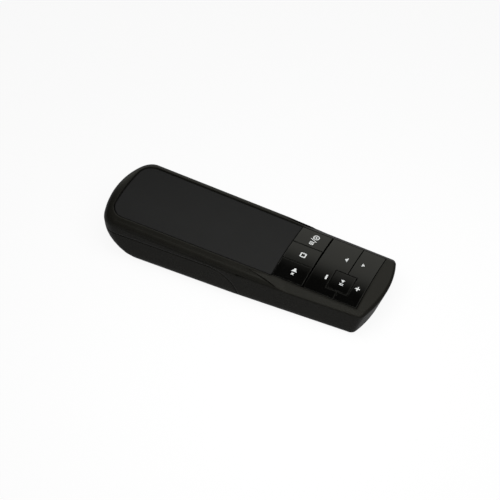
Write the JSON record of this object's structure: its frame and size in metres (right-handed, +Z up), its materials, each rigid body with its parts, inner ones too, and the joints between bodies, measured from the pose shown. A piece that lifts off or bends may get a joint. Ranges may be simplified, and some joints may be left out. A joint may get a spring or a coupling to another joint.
{
  "type": "wireless presentation clicker",
  "caption": "Hand-held presenter bar with a matte grip panel, pressing and rocking keys, a sliding battery cover and a stowed receiver.",
  "frame": {"origin": "middle of the flat underside's outline on the floor, half way along the whole length", "axes": "+X towards the front end with the keys, +Z up, +Y to the left of someone who looks towards the front"},
  "size_m": [0.1364, 0.0416, 0.0263],
  "materials": {
    "soft_touch": "soft-touch coating, near black, dull",
    "matte_inlay": "very matte textured panel, dark grey",
    "base_plastic": "fine moulded texture, black",
    "gloss_key": "polished black",
    "inner_plastic": "moulded, dark grey",
    "tongue_plastic": "moulded, off-white",
    "knob_plastic": "moulded, mid grey",
    "silicone": "translucent grey silicone",
    "steel": "plain steel",
    "black_screw": "black oxide",
    "shield": "tinned sheet",
    "contact_plate": "nickel plated sheet",
    "brass": "turned brass",
    "board": "green solder mask",
    "chip": "moulded epoxy",
    "cell_wrap": "printed wrap, plain",
    "lens": "clear",
    "window": "dark red clear plastic"
  },
  "bodies": {
    "housing": {"upper_housing": "soft_touch", "base_cover": "base_plastic", "top_panel": "matte_inlay", "rocker_axle": "steel", "key_carrier": "inner_plastic", "key_mat": "silicone", "key_domes": "steel", "circuit_board": "board", "controller_chip": "chip", "radio_module": "shield", "crystal": "shield", "laser_barrel": "brass", "laser_lens": "lens", "laser_cradle": "inner_plastic", "front_window": "window", "battery_tray": "inner_plastic", "left_cell": "cell_wrap", "right_cell": "cell_wrap", "positive_contacts": "contact_plate", "negative_contacts": "contact_plate", "switch_case": "shield", "hatch_screws": "black_screw", "board_screws": "steel", "tray_screws": "steel"},
    "battery_cover": {"battery_cover": "soft_touch"},
    "mute_key": {"mute_key": "gloss_key"},
    "blank_key": {"blank_key": "gloss_key"},
    "pointer_key": {"pointer_key": "gloss_key"},
    "play_key": {"play_key": "gloss_key"},
    "back_rocker": {"back_rocker": "gloss_key"},
    "next_rocker": {"next_rocker": "gloss_key"},
    "receiver": {"receiver_head": "base_plastic", "plug_shell": "contact_plate", "plug_tongue": "tongue_plastic"},
    "power_knob": {"power_knob": "knob_plastic"}
  },
  "joints": [
    {"name": "mute_key_press", "type": "slide", "parent": "housing", "child": "mute_key", "axis": [-0.068, 0, -0.9977], "range_m": [0, 0.0005], "stiffness_N_per_m": 3000},
    {"name": "blank_key_press", "type": "slide", "parent": "housing", "child": "blank_key", "axis": [-0.068, 0, -0.9977], "range_m": [0, 0.0005], "stiffness_N_per_m": 3000},
    {"name": "pointer_key_press", "type": "slide", "parent": "housing", "child": "pointer_key", "axis": [-0.068, 0, -0.9977], "range_m": [0, 0.0005], "stiffness_N_per_m": 3000},
    {"name": "play_key_press", "type": "slide", "parent": "housing", "child": "play_key", "axis": [-0.068, 0, -0.9977], "range_m": [0, 0.0005], "stiffness_N_per_m": 3000},
    {"name": "back_rocker_tilt", "type": "hinge", "parent": "housing", "child": "back_rocker", "pos_m": [0.04223, 0.0013, 0.01518], "axis": [0.9977, 0, -0.068], "range_deg": [-1.3, 1.3], "stiffness_Nm_per_rad": 0.8},
    {"name": "next_rocker_tilt", "type": "hinge", "parent": "housing", "child": "next_rocker", "pos_m": [0.0549, 0.0013, 0.01431], "axis": [0.9977, 0, -0.068], "range_deg": [-1.3, 1.3], "stiffness_Nm_per_rad": 0.8},
    {"name": "battery_cover_slide", "type": "slide", "parent": "housing", "child": "battery_cover", "axis": [-1, 0, 0], "range_m": [0, 0.075]},
    {"name": "receiver_slide", "type": "slide", "parent": "housing", "child": "receiver", "axis": [-0.9977, 0, 0.068], "range_m": [0, 0.03]},
    {"name": "power_knob_slide", "type": "slide", "parent": "housing", "child": "power_knob", "axis": [1, 0, 0], "range_m": [0, 0.0025]}
  ]
}
